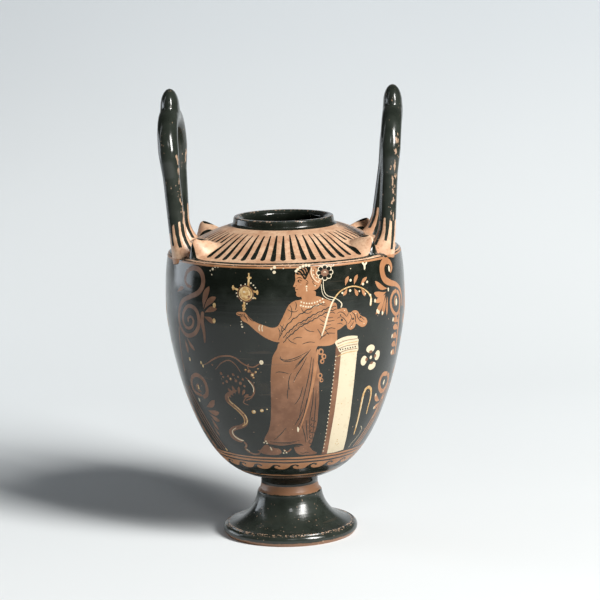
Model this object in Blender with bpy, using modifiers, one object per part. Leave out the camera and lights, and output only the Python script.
# Lebes gamikos: a footed clay bowl with a sloping shoulder, a low collar and two upright loop handles.
# All lengths are metres. The foot stands on z = 0, the axis of turning is x = y = 0, and the handles
# stand on the shoulder at +X and -X, so that the painted front faces -Y.

import math

import bmesh
import bpy
import numpy as np
from mathutils import Matrix, Vector

# Foot
foot_radius = 0.0483
foot_edge_height = 0.0078
foot_edge_width = 0.0035
foot_groove_depth = 0.0010
foot_groove_reach = 0.0004
foot_bottom_radius = 0.0464
resting_ring_width = 0.0072
foot_hollow_rise = 0.0200
foot_height = 0.0308
foot_flare_power = 0.62
foot_roll_top = math.radians(62)
foot_roll_bottom = math.radians(-50)

# Stem between foot and bowl, with the bend where it spreads into the ledge
stem_radius = 0.0203
stem_height = 0.0108
stem_ledge = 0.0028
stem_bend_height = 0.0054
ledge_bend_height = 0.0018
ledge_bend_reach = 0.0009

# Bowl: a superellipse below its widest level, closing in a little above it
belly_radius = 0.0848
belly_depth = 0.1229
belly_depth_power = 1.3229
belly_radius_power = 3.1917
shoulder_radius = 0.0826
wall_above_belly = 0.0410
wall_thickness = 0.0050
floor_thickness = 0.0078
inside_corner_cut = 0.0025

# Shoulder and its rounded edge
shoulder_edge_rounding = 0.0018
shoulder_rise = 0.0176
shoulder_bend = 0.25

# Collar and lip
collar_base_radius = 0.0375
collar_height = 0.0060
lip_radius = 0.0353
lip_rounding = 0.0010
lip_flat_width = 0.0020
mouth_radius = 0.0288
mouth_drop = 0.0018
mouth_bevel = 0.0005
collar_waist_height = 0.0015
collar_waist_inset = 0.0005

# Handles: loops of round clay, thicker over the arch, whose legs spread into flared roots.
# Each was set a little askew by hand. A positive turn takes the front leg further out than the back leg.
leg_radius = 0.0059
arch_radius = 0.0071
thickening_start = 0.0550
thickening_end = 0.0720
handle_rise = 0.0960
right_root_reach = 0.0689
right_top_reach = 0.0783
right_root_turn = math.radians(4.4)
right_top_turn = math.radians(-3.1)
left_root_reach = 0.0728
left_top_reach = 0.0779
left_root_turn = math.radians(-2.2)
left_top_turn = math.radians(3.9)
handle_half_span = 0.0300
handle_root_spread = 0.0035
handle_arch_height = 0.0300
root_flare = 0.0042
root_flare_height = 0.0200
root_sink = 0.0025

# Crests on the handles
crest_width = 0.0134
crest_length = 0.0250
crest_height = 0.0185
crest_seat = 0.0050
crest_depth = 0.0080
crest_taper = 0.05

# Pinched spurs on the shoulder, one beside each handle root
spur_angle = math.radians(38.5)
spur_center_radius = 0.0703
spur_half_length = 0.0105
spur_half_width = 0.0085
spur_height = 0.0128
spur_sink = 0.0030
spur_lean = 0.75
spur_length_power = 0.6
spur_width_power = 0.9
spur_ridge_power = 1.3

# Facets
turning_steps = 48
handle_sides_resolution = 4
leg_points = 9
arch_points = 12
bowl_points = 16
inner_bowl_points = 13
upper_wall_points = 5
inner_wall_points = 3
flare_points = 8
shoulder_points = 6
rounding_points = 3
foot_roll_points = 5
foot_hollow_points = 5
crest_segments = 12
crest_rings = 10
spur_segments = 16
spur_rings = 8
closing_distance = 0.00001

# Finish
glaze_color = (0.022, 0.023, 0.019, 1)
glaze_viewport_color = (0.10, 0.09, 0.08, 1)
glaze_roughness = 0.24

# Levels, each stacked on the one below it
stem_top = foot_height + stem_height
belly_level = stem_top + belly_depth
shoulder_level = belly_level + wall_above_belly
collar_level = shoulder_level + shoulder_rise
lip_level = collar_level + collar_height


def clear_scene():
    for item in list(bpy.data.objects):
        bpy.data.objects.remove(item, do_unlink=True)


def new_collection(name):
    collection = bpy.data.collections.new(name)
    bpy.context.scene.collection.children.link(collection)
    return collection


def glazed_clay():
    # Black gloss over orange clay. The part has one material, because it is one fired piece.
    material = bpy.data.materials.new("black_gloss_clay")
    material.use_nodes = True
    shader = material.node_tree.nodes["Principled BSDF"]
    shader.inputs["Base Color"].default_value = glaze_color
    shader.inputs["Roughness"].default_value = glaze_roughness
    shader.inputs["Metallic"].default_value = 0
    material.diffuse_color = glaze_viewport_color
    return material


def bowl_curve(radius, bottom, start_radius, count):
    # A quarter superellipse from start_radius near the bottom up to the widest level.
    first = math.asin((start_radius / radius) ** (belly_radius_power / 2))
    angles = np.linspace(first, math.pi / 2, count)
    r = radius * np.sin(angles) ** (2 / belly_radius_power)
    z = belly_level - (belly_level - bottom) * np.cos(angles).clip(0) ** (2 / belly_depth_power)
    return list(zip(r, z))


def upper_wall(radius, top, count):
    # Above the widest level the wall closes in with the cube of the height.
    t = np.linspace(0, 1, count)[1:]
    closing = (belly_radius - shoulder_radius) * t**3
    return list(zip(radius - closing, belly_level + t * (top - belly_level)))


def shoulder_surface(radius):
    # Level of the outer shoulder at a radius: a cone bent into a slight S.
    t = (shoulder_radius - radius) / (shoulder_radius - collar_base_radius)
    return shoulder_level + shoulder_rise * (t - shoulder_bend * np.sin(2 * np.pi * t) / (2 * np.pi))


def shoulder_slope():
    # Angle of the shoulder beside the handle roots and spurs.
    low, high = shoulder_radius, spur_center_radius
    return math.atan2(shoulder_surface(high) - shoulder_surface(low), low - high)


def arc(center, radius, start, end, count):
    angles = np.linspace(start, end, count)
    return [(center[0] + radius * math.cos(a), center[1] + radius * math.sin(a)) for a in angles]


def inside_points():
    # From the middle of the floor up the inner wall, under the shoulder and up the neck.
    inner_radius = belly_radius - wall_thickness
    floor_level = stem_top + floor_thickness
    under_shoulder = wall_thickness / math.cos(shoulder_slope())
    corner_radius = shoulder_radius - wall_thickness
    corner_level = shoulder_surface(corner_radius) - under_shoulder
    points = bowl_curve(inner_radius, floor_level, 0, inner_bowl_points)
    points += upper_wall(inner_radius, corner_level - inside_corner_cut, inner_wall_points)
    r = np.linspace(corner_radius - inside_corner_cut, collar_base_radius, shoulder_points - 1)
    points += list(zip(r, shoulder_surface(r) - under_shoulder))
    neck_bottom = collar_level - inside_corner_cut
    return points + [(mouth_radius, neck_bottom)]


def lip_points():
    # The lip slopes up from the mouth to a narrow flat ring, then rounds over to the collar.
    flat_outer = lip_radius - lip_rounding
    points = [(mouth_radius, lip_level - mouth_drop - lip_rounding)]
    points += [(mouth_radius + mouth_bevel, lip_level - mouth_drop)]
    points += [(flat_outer - lip_flat_width, lip_level)]
    round_center = (flat_outer, lip_level - lip_rounding)
    points += arc(round_center, lip_rounding, math.pi / 2, 0, rounding_points)
    waist_radius = (lip_radius + collar_base_radius) / 2 - collar_waist_inset
    points += [(waist_radius, collar_level + collar_waist_height)]
    return points


def outside_points():
    # Down the shoulder, round its edge and down the bowl to the stem.
    center = (shoulder_radius - shoulder_edge_rounding, shoulder_level - shoulder_edge_rounding)
    edge_top = math.pi / 2 - shoulder_slope()
    edge = arc(center, shoulder_edge_rounding, edge_top, 0, rounding_points)
    r = np.linspace(collar_base_radius, edge[0][0], shoulder_points + 1)[:-1]
    points = list(zip(r, shoulder_surface(r))) + edge
    points += upper_wall(belly_radius, center[1], upper_wall_points)[-2::-1]
    points += bowl_curve(belly_radius, stem_top, stem_radius, bowl_points)[::-1]
    return points


def stem_and_foot_points():
    # The stem, a small ledge, the concave flare of the foot, its grooved rolled edge and the flat
    # ring that it stands on, then the hollow under the foot up to the axis.
    top_radius = stem_radius + stem_ledge
    flare_outer = foot_radius - foot_edge_width
    points = [(stem_radius, foot_height + stem_bend_height)]
    points += [(stem_radius + ledge_bend_reach, foot_height + ledge_bend_height)]
    points += [(top_radius, foot_height)]
    turn = np.linspace(math.pi / 2, 0, flare_points)
    across = np.cos(turn).clip(0) ** (2 / foot_flare_power)
    up = np.sin(turn).clip(0) ** (2 / foot_flare_power)
    r = top_radius + (flare_outer - top_radius) * across
    z = foot_edge_height + (foot_height - foot_edge_height) * up
    points += list(zip(r, z))[1:]
    points += [(flare_outer + foot_groove_reach, foot_edge_height - foot_groove_depth)]
    roll = foot_edge_height / 2
    roll_center = (foot_radius - roll, roll)
    points += arc(roll_center, roll, foot_roll_top, foot_roll_bottom, foot_roll_points)
    ring_inner = foot_bottom_radius - resting_ring_width
    points += [(foot_bottom_radius, 0), (ring_inner, 0)]
    r = ring_inner * np.linspace(1, 0, foot_hollow_points)[1:]
    points += list(zip(r, foot_hollow_rise * (1 - (r / ring_inner) ** 2)))
    return points


def turned_body(collection):
    # One open profile from the axis inside to the axis below, turned about Z.
    profile = inside_points() + lip_points() + outside_points() + stem_and_foot_points()
    profile[0] = (0, profile[0][1])
    profile[-1] = (0, profile[-1][1])
    mesh = bpy.data.meshes.new("turned_body")
    edges = [(i, i + 1) for i in range(len(profile) - 1)]
    mesh.from_pydata([(r, 0, z) for r, z in profile], edges, [])
    body = bpy.data.objects.new("lebes_gamikos", mesh)
    collection.objects.link(body)
    screw = body.modifiers.new("turn", "SCREW")
    screw.axis = "Z"
    screw.angle = 2 * math.pi
    screw.steps = turning_steps
    screw.render_steps = turning_steps
    screw.use_merge_vertices = True
    screw.merge_threshold = closing_distance
    screw.use_smooth_shade = True
    return body


def handle_path(root_reach, top_reach, root_turn, top_turn):
    # Rows of x, y, z and tube radius: up one leg, over a half ellipse and down the other leg.
    # Near the root the tube spreads and its middle moves inwards, so that its outer side runs straight.
    root_radius = math.hypot(root_reach, handle_half_span + handle_root_spread)
    bottom = shoulder_surface(root_radius - root_flare) - root_sink
    arch_center = shoulder_level + handle_rise
    spring = arch_center - handle_arch_height
    z = np.linspace(bottom, spring, leg_points)
    climb = (z - bottom) / (spring - bottom)
    y = handle_half_span + handle_root_spread * (1 - climb) ** 2
    turn = np.linspace(0, math.pi, arch_points + 2)[1:-1]
    z = np.concatenate([z, spring + handle_arch_height * np.sin(turn), z[::-1]])
    y = np.concatenate([-y, -handle_half_span * np.cos(turn), y[::-1]])
    climb = (z - bottom) / (arch_center - bottom)
    x = root_reach + (top_reach - root_reach) * climb
    x = x - y * np.tan(root_turn + (top_turn - root_turn) * climb)
    flare = root_flare * (1 - (z - bottom) / root_flare_height).clip(0) ** 2
    inwards = 1 - flare / np.hypot(x, y)
    thicker = (z - shoulder_level - thickening_start) / (thickening_end - thickening_start)
    radius = leg_radius + (arch_radius - leg_radius) * thicker.clip(0, 1)
    return np.stack([x * inwards, y * inwards, z, radius + flare], axis=1)


def handle(collection, path):
    curve = bpy.data.curves.new("handle", "CURVE")
    curve.dimensions = "3D"
    curve.bevel_depth = 1
    curve.bevel_resolution = handle_sides_resolution
    curve.use_fill_caps = True
    spline = curve.splines.new("POLY")
    spline.points.add(len(path) - 1)
    for point, (x, y, z, radius) in zip(spline.points, path):
        point.co = (x, y, z, 1)
        point.radius = radius
    drawn = bpy.data.objects.new("handle_curve", curve)
    collection.objects.link(drawn)
    return meshed(drawn, "handle", collection)


def meshed(drawn, name, collection):
    # A curve as a closed mesh: its caps are welded to its sides, and the curve is removed.
    bpy.context.view_layer.update()
    graph = bpy.context.evaluated_depsgraph_get()
    mesh = bpy.data.meshes.new_from_object(drawn.evaluated_get(graph))
    shape = bmesh.new()
    shape.from_mesh(mesh)
    bmesh.ops.remove_doubles(shape, verts=shape.verts, dist=closing_distance)
    bmesh.ops.recalc_face_normals(shape, faces=shape.faces)
    shape.to_mesh(mesh)
    shape.free()
    result = bpy.data.objects.new(name, mesh)
    result.matrix_world = drawn.matrix_world
    collection.objects.link(result)
    bpy.data.objects.remove(drawn, do_unlink=True)
    return result


def shaped_sphere(name, collection, segments, rings, reshape):
    # A unit sphere whose points are moved by reshape(x, y, z).
    mesh = bpy.data.meshes.new(name)
    shape = bmesh.new()
    bmesh.ops.create_uvsphere(shape, u_segments=segments, v_segments=rings, radius=1)
    for vertex in shape.verts:
        vertex.co = Vector(reshape(*vertex.co))
    shape.to_mesh(mesh)
    shape.free()
    result = bpy.data.objects.new(name, mesh)
    collection.objects.link(result)
    return result


def crest(collection, top_reach):
    # A bud that narrows to a blunt point, seated in the top of the arch.
    def reshape(x, y, z):
        narrow = 1 - crest_taper * max(z, 0)
        rise = crest_height - crest_seat if z > 0 else crest_depth
        return (x * narrow * crest_width / 2, y * narrow * crest_length / 2, crest_seat + z * rise)

    bud = shaped_sphere("crest", collection, crest_segments, crest_rings, reshape)
    bud.matrix_world = Matrix.Translation((top_reach, 0, shoulder_level + handle_rise))
    return bud


def spur(collection):
    # A lump pinched between two fingers, here at +X: it follows the shoulder, its ridge climbs outwards
    # to a point, and its outer end is steep.
    def reshape(x, y, z):
        up = max(z, 0)
        turn = math.atan2(y, x)
        width = 1 if up else math.hypot(x, y)
        along = math.cos(turn) * width * (1 - up) ** spur_length_power + spur_lean * up
        pinched = math.copysign(abs(math.sin(turn)) ** spur_ridge_power, y)
        across = spur_half_width * pinched * width * (1 - up) ** spur_width_power
        reach = spur_center_radius + spur_half_length * along
        rise = z * (spur_height if z > 0 else spur_sink)
        return (reach, across, shoulder_surface(math.hypot(reach, across)) + rise)

    return shaped_sphere("spur", collection, spur_segments, spur_rings, reshape)


def turned(item, turn):
    # The same piece, turned about the vessel's axis.
    item.matrix_world = Matrix.Rotation(turn, 4, "Z") @ item.matrix_world
    return item


def copy_of(item, collection, turn):
    other = bpy.data.objects.new(item.name, item.data)
    collection.objects.link(other)
    other.matrix_world = item.matrix_world
    return turned(other, turn)


def joined_pieces(collection):
    # Everything that the potter pressed onto the turned body. The left handle is made at +X with the
    # opposite turn and then goes round to -X, which brings its front leg back outside.
    right = handle_path(right_root_reach, right_top_reach, right_root_turn, right_top_turn)
    left = handle_path(left_root_reach, left_top_reach, -left_root_turn, -left_top_turn)
    pieces = [handle(collection, right), crest(collection, right_top_reach)]
    pieces += [turned(handle(collection, left), math.pi)]
    pieces += [turned(crest(collection, left_top_reach), math.pi)]
    first = spur(collection)
    for angle in (spur_angle, -spur_angle, math.pi + spur_angle, math.pi - spur_angle):
        pieces.append(copy_of(first, collection, angle))
    bpy.data.objects.remove(first, do_unlink=True)
    return pieces


def build():
    clear_scene()
    vessel = new_collection("lebes gamikos")
    additions = new_collection("clay added to the turned body")
    body = turned_body(vessel)
    for piece in joined_pieces(additions):
        piece.hide_render = True
        piece.display_type = "WIRE"
        union = body.modifiers.new(piece.name, "BOOLEAN")
        union.operation = "UNION"
        union.solver = "EXACT"
        union.object = piece
    body.data.materials.append(glazed_clay())


build()
